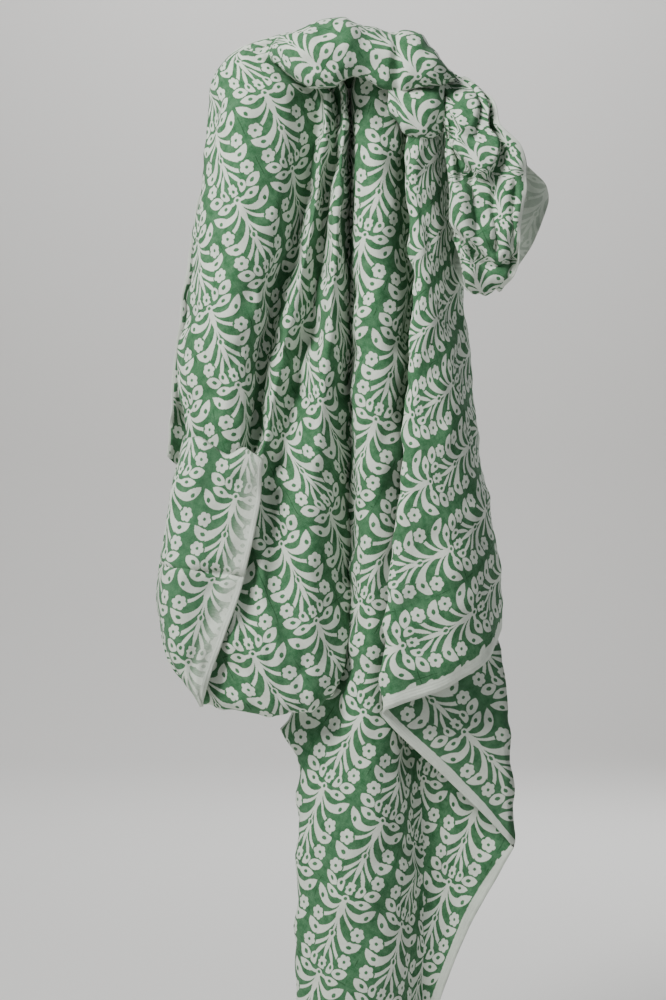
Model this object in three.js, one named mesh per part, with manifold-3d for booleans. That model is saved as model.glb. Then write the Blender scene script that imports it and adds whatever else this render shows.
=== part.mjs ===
// A length of thin block printed cotton, hung up by one point and falling in deep folds.
// Millimetres, +Z up, the front faces -Y. The origin is the point that the cloth hangs from,
// under the top of its hood. Every drop is measured down from there.
import * as THREE from 'three';
import Module from 'manifold-3d';

const wasm = await Module();
wasm.setup();

// Driving sizes
const clothThickness = 2.0;
const domeTop = 7;            // the gathered top rounds over between these two drops, the flatter
const domeDrop = 90;          // the higher its power
const domePower = 3.5;
const domeCentre = { x: -10, y: -15 };
const domeHalfWidth = 104;
const domeHalfDepth = 50;
const firstRing = 0.09;       // size of the smallest ring of the dome, as a share of the full one
const pleatStart = 8;         // the pleats grow out of the dome between these two drops
const pleatFull = 70;
const pouchTurn = 14;         // radius with which the pouch turns under
const pouchRise = 22;         // how far its turned end runs up inside
const tuck = { drop: 606, reach: 16, half: 15 };   // the corner that sticks out below the pouch
const puff = { x: -67, drop: 362, halfWidth: 13, halfHeight: 10, depth: 11 };   // a knot of cloth over the flap

// The column, the right hand panels and the back are one winding. Each row is one fold line, with its
// place across (x) and in depth (y) at these drops, and how far down the cloth reaches there.
const windingDrops = [90, 240, 370, 490, 590, 720, 940];
const winding = [
  { fold: 'inner end', x: [4, -4, -10, -16, -16, -8, -8], y: [-4, -4, 0, 4, 8, 6, 4], reach: 936 },
  { fold: 'tail left edge', x: [3, -8, -16, -26, -36, -37, -38], y: [-14, -14, -14, -18, -22, -22, -20], reach: 938 },
  { fold: 'deep crease', x: [8, 8, 8, 8, -8, -18, -16], y: [-20, -19, -19, -24, -38, -44, -42], reach: 940 },
  { fold: 'column left', x: [14, 14, 15, 17, 8, -3, -4], y: [-48, -50, -52, -54, -54, -56, -53], reach: 940 },
  { fold: 'column ridge', x: [29, 32, 32, 27, 24, 22, 24], y: [-57, -61, -62, -62, -62, -61, -58], reach: 938 },
  { fold: 'column right', x: [48, 51, 51, 48, 47, 49, 51], y: [-48, -49, -51, -51, -52, -50, -47], reach: 928 },
  { fold: 'inner valley', x: [56, 60, 66, 68, 66, 72, 70], y: [-28, -24, -22, -21, -20, -20, -22], reach: 884 },
  { fold: 'inner panel', x: [72, 76, 88, 101, 105, 113, 98], y: [-24, -22, -21, -21, -24, -28, -28], reach: 775 },
  { fold: 'right turn', x: [84, 94, 109, 128, 143, 148, 122], y: [-30, -28, -27, -28, -34, -40, -40], reach: 706 },
  { fold: 'reversed panel', x: [74, 80, 82, 86, 92, 97, 94], y: [-44, -46, -48, -50, -53, -56, -52], reach: 650 },
  { fold: 'panel left edge', x: [54, 59, 52, 40, 34, 34, 34], y: [-64, -66, -68, -70, -70, -70, -68], reach: 590 },
  { fold: 'panel left shoulder', x: [62, 67, 62, 52, 47, 47, 47], y: [-72, -74, -78, -81, -81, -80, -78], reach: 582 },
  { fold: 'panel middle', x: [76, 82, 88, 89, 86, 86, 86], y: [-66, -66, -75, -81, -82, -80, -78], reach: 568 },
  { fold: 'panel right', x: [87, 99, 111, 125, 128, 128, 128], y: [-42, -42, -50, -56, -56, -56, -56], reach: 541 },
  { fold: 'right edge', x: [92, 107, 122, 139, 140, 140, 140], y: [-14, -12, -12, -14, -14, -14, -14], reach: 521 },
  { fold: 'back right', x: [84, 94, 107, 122, 124, 124, 124], y: [16, 18, 20, 22, 22, 22, 22], reach: 508 },
  { fold: 'back valley 1', x: [64, 71, 79, 86, 88, 88, 88], y: [-2, -4, -6, -6, -6, -6, -6], reach: 494 },
  { fold: 'back ridge 1', x: [45, 47, 51, 54, 55, 55, 55], y: [24, 28, 31, 32, 32, 32, 32], reach: 479 },
  { fold: 'back valley 2', x: [26, 21, 19, 16, 15, 15, 15], y: [-1, -3, -5, -6, -6, -6, -6], reach: 463 },
  { fold: 'back ridge 2', x: [4, -7, -15, -22, -24, -24, -24], y: [26, 32, 35, 36, 36, 36, 36], reach: 448 },
  { fold: 'back valley 3', x: [-20, -37, -49, -57, -59, -59, -59], y: [0, -2, -4, -5, -5, -5, -5], reach: 433 },
  { fold: 'back ridge 3', x: [-44, -66, -81, -91, -94, -94, -94], y: [22, 28, 30, 31, 31, 31, 31], reach: 418 },
  { fold: 'back valley 4', x: [-72, -92, -108, -119, -121, -121, -121], y: [-2, -3, -4, -5, -5, -5, -5], reach: 403 },
  { fold: 'back left', x: [-98, -118, -131, -138, -140, -140, -140], y: [10, 12, 13, 13, 13, 13, 13], reach: 388 },
  { fold: 'back left edge', x: [-110, -138, -150, -154, -154, -154, -154], y: [-4, 0, 1, 2, 2, 2, 2], reach: 372 },
];

// The left hand panel, from its free edge to the deep crease, with its pouch at the foot.
const panelDrops = [90, 160, 240, 290, 360, 410, 495, 545, 585];
const panel = [
  { fold: 'free edge', x: [-114, -123, -133, -141, -132, -144, -156, -146, -117],
    y: [-12, -12, -12, -16, -26, -34, -38, -40, -52], reach: 583 },
  { fold: 'left shoulder', x: [-103, -112, -121, -126, -118, -124, -134, -128, -108],
    y: [-40, -40, -40, -40, -42, -44, -46, -48, -54], reach: 585 },
  { fold: 'panel ridge', x: [-76, -81, -89, -95, -98, -104, -108, -104, -94],
    y: [-59, -62, -62, -60, -56, -54, -56, -58, -60], reach: 588 },
  { fold: 'right shoulder', x: [-47, -55, -70, -80, -85, -92, -90, -86, -78],
    y: [-54, -56, -57, -55, -52, -54, -62, -68, -66], reach: 590 },
  { fold: 'broad valley', x: [-19, -31, -55, -66, -74, -82, -76, -68, -60],
    y: [-28, -18, -15, -18, -25, -41, -60, -72, -70], reach: 592 },
  { fold: 'small ridge', x: [-12, -21, -38, -50, -63, -72, -64, -56, -48],
    y: [-50, -48, -46, -46, -48, -54, -64, -73, -71], reach: 592 },
  { fold: 'thin crease', x: [-2, -12, -22, -33, -48, -61, -50, -42, -34],
    y: [-32, -25, -22, -23, -29, -42, -60, -72, -70], reach: 590 },
  { fold: 'narrow ridge', x: [4, -2, -7, -12, -19, -26, -26, -24, -20],
    y: [-54, -54, -56, -58, -61, -63, -67, -70, -68], reach: 585 },
  { fold: 'deep crease', x: [9, 9, 9, 9, 9, 9, 9, 5, -9],
    y: [-20, -18, -18, -18, -18, -20, -30, -52, -60], reach: 577 },
];

// The turned back edge of the left panel. It hangs from its upper edge, between its fold on the left and
// the selvedge on the right, as far as the foot of the pouch.
const flapDrops = [361, 403, 438, 485, 525, 559, 584];
const flap = {
  fold: [-134, -144, -150, -156, -151, -137, -117],
  selvedge: [-65, -66, -72, -83, -97, -109, -116],
  depth: [-72, -72, -72, -73, -73, -72, -64],
  top: [361, 359, 366, 373, 367, 380],
};
const flapFoldDepth = -38;

// The hood: a puffed roll of cloth over the gathers. Each row is a station from left to right, with the
// drop of its top and of its lip, and how far it stands forward.
const hood = [
  { x: -60, top: 24, lip: 32, front: -34 },
  { x: -55, top: 15, lip: 39, front: -54 },
  { x: -46, top: 11, lip: 50, front: -70 },
  { x: -34, top: 7, lip: 60, front: -81 },
  { x: -20, top: 2, lip: 63.5, front: -88 },
  { x: -6, top: -2, lip: 65, front: -90 },
  { x: 4, top: -1, lip: 59, front: -89 },
  { x: 12, top: 4, lip: 54, front: -86 },
  { x: 26, top: 8, lip: 59, front: -83 },
  { x: 40, top: 9, lip: 66, front: -84 },
  { x: 47, top: 10, lip: 68, front: -79 },
  { x: 54, top: 11, lip: 67, front: -86 },
  { x: 64, top: 15, lip: 66, front: -87 },
  { x: 78, top: 26, lip: 62, front: -84 },
  { x: 97, top: 43, lip: 58, front: -68 },
];
// The roll's section, from its end under the lip, round the front and over the top to the back.
const hoodSection = [
  { depth: 0.42, down: 0.82 },
  { depth: 0.66, down: 0.97 },
  { depth: 0.86, down: 1.0 },
  { depth: 0.98, down: 0.84 },
  { depth: 1.0, down: 0.58 },
  { depth: 0.90, down: 0.28 },
  { depth: 0.66, down: 0.06 },
  { depth: 0.36, down: 0.0 },
  { depth: 0.02, down: 0.08 },
  { depth: -0.38, down: 0.55 },
];

// The fold under the right half of the hood, from left to right, with the drop of its foot and how much of
// the section's depth it has.
const collar = [
  { x: 40, foot: 82, front: 0.90 },
  { x: 47, foot: 94, front: 0.97 },
  { x: 55, foot: 104, front: 1.0 },
  { x: 66, foot: 107, front: 1.0 },
  { x: 78, foot: 106, front: 0.97 },
  { x: 87, foot: 100, front: 0.84 },
];
const collarHead = 50;
const collarSection = [
  { depth: -54, down: 0 },
  { depth: -74, down: 0.3 },
  { depth: -83, down: 0.65 },
  { depth: -80, down: 0.92 },
  { depth: -68, down: 1.0 },
  { depth: -52, down: 0.86 },
];

// The lobe at the right: down its front layer, round its roll at the foot and up its back layer, which
// reaches further right. Each row has the drop, the depth and the two edges.
const lobe = [
  { drop: 46, depth: -40, left: 76, right: 98 },
  { drop: 60, depth: -60, left: 82, right: 116 },
  { drop: 78, depth: -76, left: 86, right: 129 },
  { drop: 95, depth: -84, left: 87, right: 133 },
  { drop: 115, depth: -90, left: 88, right: 151 },
  { drop: 132, depth: -94, left: 89, right: 155.5 },
  { drop: 150, depth: -95, left: 90, right: 155 },
  { drop: 170, depth: -95, left: 92, right: 152 },
  { drop: 189, depth: -94, left: 95, right: 150 },
  { drop: 205, depth: -90, left: 98, right: 149 },
  { drop: 219, depth: -86, left: 100, right: 146 },
  { drop: 230, depth: -77, left: 105, right: 140 },
  { drop: 236, depth: -66, left: 113, right: 134 },
  { drop: 235, depth: -56, left: 110, right: 136 },
  { drop: 226, depth: -46, left: 102, right: 142 },
  { drop: 212, depth: -39, left: 97, right: 151 },
  { drop: 192, depth: -33, left: 92, right: 164 },
  { drop: 172, depth: -29, left: 90, right: 173 },
  { drop: 152, depth: -27, left: 89, right: 179 },
  { drop: 141, depth: -26, left: 89, right: 177 },
  { drop: 124, depth: -27, left: 88, right: 161 },
  { drop: 104, depth: -30, left: 88, right: 141 },
  { drop: 86, depth: -36, left: 87, right: 128 },
];
// How far the front layer curls back at its edges, across the lobe from 0 to 1
const lobeEdge = { across: [0, 0.08, 0.2, 0.85, 1], back: [14, 4, 0, 0, 6] };
// Swags that hang from the lobe's upper corners: where each is lowest, how far it rises to its sides, how far
// back the cloth under it lies, and over what length that comes forward again.
const lobeSwags = [
  { across: 0.36, drop: 104, rise: 60, back: 9, fade: 14 },
  { across: 0.42, drop: 140, rise: 70, back: 17, fade: 24 },
  { across: 0.60, drop: 211, rise: 22, back: 15, fade: 15 },
];

// How finely each sheet is cut up
const stepsPerFold = 2;
const domeRows = 6;
const windingRows = 16;
const panelRows = 14;
const turnRows = 4;
const flapColumns = 5;
const flapRows = 9;
const lobeRows = 28;
const lobeColumns = 7;

const smoothStep = (low, high, value) => THREE.MathUtils.smoothstep(value, low, high);

// A smooth curve through rising places that never runs past its own points: a cubic piece between each
// two, whose slopes are the harmonic mean of the slopes on either side, or flat at a turn.
function smoothThrough(places, values, at) {
  const last = places.length - 1;
  if (at <= places[0]) return values[0];
  if (at >= places[last]) return values[last];
  let i = 0;
  while (at > places[i + 1]) i += 1;
  const chord = (k) => (values[k + 1] - values[k]) / (places[k + 1] - places[k]);
  const slope = (k) => {
    if (k === 0) return chord(0);
    if (k === last) return chord(last - 1);
    const before = chord(k - 1);
    const after = chord(k);
    return before * after <= 0 ? 0 : (2 * before * after) / (before + after);
  };
  const width = places[i + 1] - places[i];
  const t = (at - places[i]) / width;
  const blend = t * t * (3 - 2 * t);
  return values[i] * (1 - blend) + values[i + 1] * blend
    + width * slope(i) * t * (1 - t) ** 2 - width * slope(i + 1) * t * t * (1 - t);
}

// A closed solid from a grid of points on the outer face: the inner face lies one thickness behind it.
function thickSheet(grid) {
  const rows = grid.length;
  const columns = grid[0].length;
  const across = new THREE.Vector3();
  const down = new THREE.Vector3();
  const inner = grid.map((row, j) => row.map((point, i) => {
    across.subVectors(row[Math.min(i + 1, columns - 1)], row[Math.max(i - 1, 0)]);
    down.subVectors(grid[Math.min(j + 1, rows - 1)][i], grid[Math.max(j - 1, 0)][i]);
    return across.cross(down).setLength(clothThickness).add(point).clone();
  }));
  const positions = [...grid.flat(), ...inner.flat()].flatMap((p) => [p.x, p.y, p.z]);
  const outerAt = (j, i) => j * columns + i;
  const innerAt = (j, i) => rows * columns + outerAt(j, i);
  const triangles = [];
  const quad = (a, b, c, d) => triangles.push(a, b, c, a, c, d);
  for (let j = 0; j < rows - 1; j += 1) {
    for (let i = 0; i < columns - 1; i += 1) {
      quad(outerAt(j, i), outerAt(j + 1, i), outerAt(j + 1, i + 1), outerAt(j, i + 1));
      quad(innerAt(j, i), innerAt(j, i + 1), innerAt(j + 1, i + 1), innerAt(j + 1, i));
    }
    quad(outerAt(j, 0), innerAt(j, 0), innerAt(j + 1, 0), outerAt(j + 1, 0));
    const end = columns - 1;
    quad(outerAt(j, end), outerAt(j + 1, end), innerAt(j + 1, end), innerAt(j, end));
  }
  for (let i = 0; i < columns - 1; i += 1) {
    quad(outerAt(0, i), outerAt(0, i + 1), innerAt(0, i + 1), innerAt(0, i));
    const end = rows - 1;
    quad(outerAt(end, i), innerAt(end, i), innerAt(end, i + 1), outerAt(end, i + 1));
  }
  return new wasm.Manifold(new wasm.Mesh({
    numProp: 3,
    vertProperties: new Float32Array(positions),
    triVerts: new Uint32Array(triangles),
  }));
}

// The place on a table of folds at one column (in folds) and drop. Within the dome the folds shrink to a
// small ring, and the pleats fade into it.
function foldPoint(table, drops, ring, column, drop) {
  const low = Math.max(drop, domeDrop);
  const numbers = table.map((row, k) => k);
  const x = smoothThrough(numbers, table.map((row) => smoothThrough(drops, row.x, low)), column);
  const y = smoothThrough(numbers, table.map((row) => smoothThrough(drops, row.y, low)), column);
  if (drop >= domeDrop) return new THREE.Vector3(x, y, -drop);
  const size = Math.sqrt(1 - ((domeDrop - drop) / (domeDrop - domeTop)) ** domePower);
  const angle = THREE.MathUtils.degToRad(THREE.MathUtils.lerp(ring.start, ring.end, column / (table.length - 1)));
  const pleated = smoothStep(pleatStart, pleatFull, drop);
  const ringX = domeHalfWidth * Math.cos(angle);
  const ringY = domeHalfDepth * Math.sin(angle);
  return new THREE.Vector3(
    domeCentre.x + size * THREE.MathUtils.lerp(ringX, x - domeCentre.x, pleated),
    domeCentre.y + size * THREE.MathUtils.lerp(ringY, y - domeCentre.y, pleated),
    -drop,
  );
}

// The drop of one row: even steps round the dome, then even steps down to the foot.
function rowDrop(row, rows, reach) {
  if (row >= domeRows) return domeDrop + (reach - domeDrop) * ((row - domeRows) / (rows - domeRows));
  const first = Math.asin(firstRing);
  const size = Math.sin(first + (Math.PI / 2 - first) * (row / domeRows));
  return domeDrop - (domeDrop - domeTop) * (1 - size * size) ** (1 / domePower);
}

function foldColumns(table) {
  const count = (table.length - 1) * stepsPerFold;
  return Array.from({ length: count + 1 }, (unused, i) => i / stepsPerFold);
}

function reachAt(table, column) {
  return smoothThrough(table.map((row, k) => k), table.map((row) => row.reach), column);
}

function windingSheet() {
  const ring = { start: 256, end: 546 };
  const columns = foldColumns(winding);
  const rows = domeRows + windingRows;
  return Array.from({ length: rows + 1 }, (unused, j) => columns.map((column) => {
    const point = foldPoint(winding, windingDrops, ring, column, rowDrop(j, rows, reachAt(winding, column)));
    const nearEdge = THREE.MathUtils.clamp(1.5 - Math.abs(column - 1), 0, 1);
    point.x -= tuck.reach * nearEdge * Math.exp(-(((-point.z - tuck.drop) / tuck.half) ** 2));
    return point;
  }));
}

// The left panel falls to the foot of its pouch, rounds it, and runs up a little way inside.
function panelSheet() {
  const ring = { start: 180, end: 268 };
  const columns = foldColumns(panel);
  const rows = domeRows + panelRows;
  const grid = Array.from({ length: rows + 1 }, (unused, j) => columns.map((column) => {
    const foot = reachAt(panel, column) - pouchTurn;
    return foldPoint(panel, panelDrops, ring, column, rowDrop(j, rows, foot));
  }));
  const foot = grid[rows];
  for (let j = 1; j <= turnRows; j += 1) {
    const angle = Math.PI * (j / turnRows);
    grid.push(foot.map((p) => new THREE.Vector3(
      p.x, p.y + pouchTurn * (1 - Math.cos(angle)), p.z - pouchTurn * Math.sin(angle),
    )));
  }
  grid.push(foot.map((p) => new THREE.Vector3(p.x * 0.98, p.y + 2 * pouchTurn + 3, p.z + pouchRise)));
  grid.flat().filter((p) => p.y < -20).forEach((p) => {
    const away = Math.hypot((p.x - puff.x) / puff.halfWidth, (-p.z - puff.drop) / puff.halfHeight);
    p.y -= puff.depth * Math.exp(-(away ** 2));
  });
  return grid;
}

// The flap starts behind its fold, rounds it and lies forward over the panel to the selvedge.
function flapSheet() {
  const grid = [];
  const foot = flapDrops[flapDrops.length - 1];
  for (let j = -1; j <= flapRows; j += 1) {
    const row = [];
    for (let i = -1; i <= flapColumns; i += 1) {
      const across = Math.max(i, 0) / flapColumns;
      const places = flap.top.map((unused, k) => k / (flap.top.length - 1));
      const top = smoothThrough(places, flap.top, across);
      const drop = top + (foot - top) * (Math.max(j, 0) / flapRows);
      const fold = smoothThrough(flapDrops, flap.fold, drop);
      const selvedge = smoothThrough(flapDrops, flap.selvedge, drop);
      const front = smoothThrough(flapDrops, flap.depth, drop);
      const round = Math.sqrt(1 - (1 - Math.min(across * 3, 1)) ** 2);
      const point = new THREE.Vector3(
        THREE.MathUtils.lerp(fold, selvedge, across),
        THREE.MathUtils.lerp(flapFoldDepth, front, round) + 3 * across,
        -drop,
      );
      if (i < 0) point.add(new THREE.Vector3(4, 8, 0));
      if (j < 0) point.add(new THREE.Vector3(0, 9, 3));
      row.push(point);
    }
    grid.push(row);
  }
  return grid;
}

// A roll of cloth: one section, sized at each station, from left to right.
function rolledSheet(stations, section, placeOf) {
  return section.map((turn) => stations.map((station) => placeOf(station, turn)));
}

const hoodSheet = () => rolledSheet(hood, [...hoodSection].reverse(), (station, turn) => new THREE.Vector3(
  station.x, turn.depth * station.front, -(station.top + (station.lip - station.top) * turn.down),
));

const collarSheet = () => rolledSheet(collar, collarSection, (station, turn) => new THREE.Vector3(
  station.x, turn.depth * station.front, -(collarHead + (station.foot - collarHead) * turn.down),
));

// The lobe: under each swag of its front layer the cloth steps back, then comes forward again.
function lobeSheet() {
  const numbers = lobe.map((row, k) => k);
  const at = (key, row) => smoothThrough(numbers, lobe.map((entry) => entry[key]), row);
  return Array.from({ length: lobeRows + 1 }, (unused, j) => {
    const row = (j / lobeRows) * (lobe.length - 1);
    const drop = at('drop', row);
    const frontLayer = 1 - smoothStep(11, 14, row);
    return Array.from({ length: lobeColumns + 1 }, (unusedToo, i) => {
      const across = i / lobeColumns;
      const swagged = lobeSwags.reduce((sum, swag) => {
        const under = drop - swag.drop + swag.rise * (2 * (across - swag.across)) ** 2;
        const step = smoothStep(-3, 4, under) * Math.exp(-Math.max(under, 0) / swag.fade);
        return sum + swag.back * step * Math.sin(Math.PI * across) ** 0.35;
      }, smoothThrough(lobeEdge.across, lobeEdge.back, across));
      return new THREE.Vector3(
        THREE.MathUtils.lerp(at('left', row), at('right', row), across),
        at('depth', row) + swagged * frontLayer,
        -drop,
      );
    });
  });
}

// Joined into one sheet of cloth
const sheets = [windingSheet(), panelSheet(), flapSheet(), hoodSheet(), collarSheet(), lobeSheet()];
const joined = sheets.map(thickSheet).reduce((whole, sheet) => whole.add(sheet));
// Layers that press on each other can close off a thimbleful of air: the outer skin alone is kept.
const [solid] = joined.decompose().sort((a, b) => b.volume() - a.volume());
const mesh = solid.getMesh();
const geometry = new THREE.BufferGeometry();
geometry.setAttribute('position', new THREE.BufferAttribute(mesh.vertProperties, 3));
geometry.setIndex(new THREE.BufferAttribute(mesh.triVerts, 1));

const printedCotton = new THREE.MeshStandardMaterial({ color: 0x8fb394, roughness: 0.9, metalness: 0 });
const cloth = new THREE.Mesh(geometry, printedCotton);
cloth.name = 'cloth';

const fabric = new THREE.Group();
fabric.add(cloth);
export default fabric;
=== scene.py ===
import math

import bmesh
import bpy
import numpy as np
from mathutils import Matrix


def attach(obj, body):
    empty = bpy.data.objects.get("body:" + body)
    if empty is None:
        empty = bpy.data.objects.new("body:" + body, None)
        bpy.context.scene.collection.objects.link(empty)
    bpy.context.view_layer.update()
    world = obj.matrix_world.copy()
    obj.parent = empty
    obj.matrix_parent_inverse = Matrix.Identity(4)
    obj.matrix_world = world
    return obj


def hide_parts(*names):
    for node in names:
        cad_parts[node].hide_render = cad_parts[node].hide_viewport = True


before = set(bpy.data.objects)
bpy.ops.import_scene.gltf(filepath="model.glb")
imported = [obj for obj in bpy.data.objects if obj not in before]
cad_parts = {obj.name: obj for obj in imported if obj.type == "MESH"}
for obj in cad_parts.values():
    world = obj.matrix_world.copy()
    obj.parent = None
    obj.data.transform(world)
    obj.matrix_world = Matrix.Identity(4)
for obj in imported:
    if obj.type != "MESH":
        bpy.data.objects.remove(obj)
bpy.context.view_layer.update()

mm = 0.001

# Camera, lights and backdrop.

studio = {
    "eye": (-6, -2050, -410),  # mm; level with the middle of the view
    "lens": 85,
    "world": (0.80, 0.83, 0.87),
    "worldStrength": 0.13,  # as it lights the cloth
    "worldSeen": 0.62,  # as it shows behind the floor in views from the sides
    "floorColour": (0.80, 0.79, 0.77),
    "floorRoughness": 0.85,
    "floorDrop": 975,  # mm under the hang point
    "floorRows": 61,
    "halfWidth": 5.0,  # m, to each side
    "flatAhead": 5.0,  # m of flat floor in front of the cloth
    "flatBehind": 3.0,  # m of flat floor behind the cloth, before it curves up
    "roundBehind": 0.7,
    "wallHeight": 2.4,
}

# where each light stands and looks, in m from the hang point, the side of its square and its power
lights = [
    dict(name="key", place=(-1.0, -1.05, 0.85), target=(0, 0, 0), size=0.7, power=51,
         colour=(1.0, 0.985, 0.96)),
    dict(name="fill", place=(1.7, -1.9, 0.3), target=(0, 0, -0.35), size=1.6, power=5,
         colour=(0.95, 0.98, 1.0)),
    dict(name="rear", place=(0.9, 1.9, 0.8), target=(0, 0, -0.45), size=1.4, power=30,
         colour=(0.97, 0.99, 1.0)),
    dict(name="wall", place=(0, 2.3, 1.7), target=(0, 3.8, -0.2), size=2.0, power=46,
         colour=(1.0, 1.0, 1.0)),
]


def makeCamera():
    cameraData = bpy.data.cameras.new("camera")
    cameraData.lens = studio["lens"]
    camera = bpy.data.objects.new("camera", cameraData)
    camera.location = [value * mm for value in studio["eye"]]
    camera.rotation_euler = (math.radians(90), 0, 0)
    bpy.context.collection.objects.link(camera)
    bpy.context.scene.camera = camera


def makeLight(settings):
    # a square lamp turned so that its face looks from its place to its target
    lightData = bpy.data.lights.new(settings["name"], "AREA")
    lightData.size = settings["size"]
    lightData.energy = settings["power"]
    lightData.color = settings["colour"]
    light = bpy.data.objects.new(settings["name"], lightData)
    light.location = settings["place"]
    direction = np.subtract(settings["target"], settings["place"])
    across = math.atan2(direction[1], direction[0])
    rise = math.atan2(direction[2], math.hypot(direction[0], direction[1]))
    light.rotation_euler = (math.radians(90) + rise, 0, across - math.radians(90))
    light.visible_camera = False
    bpy.context.collection.objects.link(light)


def makeWorld():
    # one strength where the camera sees it past the floor, another where it lights the cloth
    world = bpy.data.worlds.new("room")
    world.use_nodes = True
    background = world.node_tree.nodes["Background"]
    background.inputs["Color"].default_value = (*studio["world"], 1)
    rays = world.node_tree.nodes.new("ShaderNodeLightPath")
    seen = Wire(world.node_tree, rays.outputs["Is Camera Ray"])
    strength = seen * (studio["worldSeen"] - studio["worldStrength"]) + studio["worldStrength"]
    world.node_tree.links.new(strength.socket, background.inputs["Strength"])
    bpy.context.scene.world = world


def makeFloor():
    # a strip swept sideways: its first half is flat, the next quarter a quarter round, the last a wall
    ahead, behind, radius = studio["flatAhead"], studio["flatBehind"], studio["roundBehind"]
    along = np.linspace(0, 1, studio["floorRows"])
    turn = np.clip((along - 0.5) / 0.25, 0, 1) * math.pi / 2
    wall = np.clip((along - 0.75) / 0.25, 0, 1) * studio["wallHeight"]
    floorY = np.where(along < 0.5, -ahead + along * 2 * (behind + ahead), behind + radius * np.sin(turn))
    floorZ = radius * (1 - np.cos(turn)) + wall - studio["floorDrop"] * mm
    sides = np.array([-studio["halfWidth"], studio["halfWidth"]])
    points = np.stack(np.broadcast_arrays(sides[None, :], floorY[:, None], floorZ[:, None]), axis=-1)
    floor = meshFrom("floor", [{"points": points}])
    floor.data.materials.append(plainMaterial("floorPaper", studio["floorColour"], studio["floorRoughness"]))


def makeStudio():
    makeCamera()
    for settings in lights:
        makeLight(settings)
    makeWorld()
    makeFloor()
    print("studio made")


# Meshes from grids of points.

def gridFaces(rows, columns):
    # each face joins four neighbouring points, down one column and up the next
    corner = np.arange(rows * columns).reshape(rows, columns)
    around = [corner[:-1, :-1], corner[1:, :-1], corner[1:, 1:], corner[:-1, 1:]]
    return np.stack(around, axis=-1).reshape(-1, 4)


def meshFrom(name, sheets):
    # each sheet is a grid of points, rows running down and columns to the right as seen from its outer face
    points, faces, flat, selvedge, turned = [], [], [], [], []
    count = 0
    for sheet in sheets:
        rows, columns = sheet["points"].shape[:2]
        points.append(sheet["points"].reshape(-1, 3))
        faces.append(gridFaces(rows, columns) + count)
        flat.append(sheet.get("flat", np.zeros((rows, columns, 2))).reshape(-1, 2))
        selvedge.append(np.broadcast_to(sheet.get("selvedge", 1.0), (rows, columns)).ravel())
        turned.append(np.broadcast_to(sheet.get("turned", 0.0), (rows, columns)).ravel())
        count += rows * columns
    mesh = bpy.data.meshes.new(name)
    faces = np.concatenate(faces)
    mesh.from_pydata(np.concatenate(points).tolist(), [], faces.tolist())
    uv = mesh.uv_layers.new(name="clothPlace")
    uv.data.foreach_set("uv", np.concatenate(flat)[faces.ravel()].ravel())
    for attribute, values in (("selvedge", selvedge), ("turned", turned)):
        mesh.attributes.new(attribute, "FLOAT", "POINT").data.foreach_set("value", np.concatenate(values))
    mesh.polygons.foreach_set("use_smooth", np.ones(len(mesh.polygons), dtype=bool))
    made = bpy.data.objects.new(name, mesh)
    bpy.context.collection.objects.link(made)
    return made


# Shader maths.

class Wire:
    # a socket of a material: arithmetic on it adds Math nodes

    def __init__(self, tree, socket):
        self.tree = tree
        self.socket = socket

    def node(self, kind, settings=None, values=None, output=0):
        made = self.tree.nodes.new(kind)
        for name, value in (settings or {}).items():
            setattr(made, name, value)
        for name, value in (values or {}).items():
            if isinstance(value, Wire):
                self.tree.links.new(value.socket, made.inputs[name])
            else:
                made.inputs[name].default_value = value
        return Wire(self.tree, made.outputs[output])

    def math(self, operation, *values):
        return self.node("ShaderNodeMath", {"operation": operation}, dict(enumerate(values)))

    def __add__(self, other):
        return self.math("ADD", self, other)

    def __sub__(self, other):
        return self.math("SUBTRACT", self, other)

    def __rsub__(self, other):
        return self.math("SUBTRACT", other, self)

    def __mul__(self, other):
        return self.math("MULTIPLY", self, other)

    __radd__ = __add__
    __rmul__ = __mul__

    def least(self, other):
        return self.math("MINIMUM", self, other)

    def most(self, other):
        return self.math("MAXIMUM", self, other)

    def softLeast(self, other, width):
        return self.math("SMOOTH_MIN", self, other, width)

    def wave(self, pitch):
        # the sine of this times the pitch
        return self.math("SINE", self * pitch)

    def step(self, low, high):
        # 0 below low, 1 above high, smooth between
        settings = {"interpolation_type": "SMOOTHSTEP"}
        return self.node("ShaderNodeMapRange", settings, {"Value": self, "From Min": low, "From Max": high})

    def distance(self, place):
        # how far this place lies from a fixed one
        values = {0: self, 1: (*place, 0)}
        return self.node("ShaderNodeVectorMath", {"operation": "DISTANCE"}, values, "Value")

    def vector(self, operation, other):
        # this place and another, or three numbers, added, subtracted or multiplied axis by axis
        return self.node("ShaderNodeVectorMath", {"operation": operation}, {0: self, 1: other})

    def scaled(self, factor):
        return self.node("ShaderNodeVectorMath", {"operation": "SCALE"}, {0: self, "Scale": factor})

    def mix(self, first, second):
        # the first colour where this is 0, the second where it is 1
        settings = {"data_type": "RGBA", "clamp_factor": True}
        first, second = (value if isinstance(value, Wire) else (*value, 1) for value in (first, second))
        return self.node("ShaderNodeMix", settings, {0: self, 6: first, 7: second}, 2)

    def noise(self, scale, detail=2.0, rough=0.5, stretch=(1, 1, 1)):
        # grain at this place, in cycles per mm
        placed = self.vector("MULTIPLY", [scale * value for value in stretch])
        values = {"Vector": placed, "Scale": 1.0, "Detail": detail, "Roughness": rough}
        return self.node("ShaderNodeTexNoise", {}, values)


def newMaterial(name):
    material = bpy.data.materials.new(name)
    material.use_nodes = True
    return material, material.node_tree.nodes["Principled BSDF"]


def plainMaterial(name, colour, roughness):
    material, shader = newMaterial(name)
    shader.inputs["Base Color"].default_value = (*colour, 1)
    shader.inputs["Roughness"].default_value = roughness
    return material


# The printed cloth's material.

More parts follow.
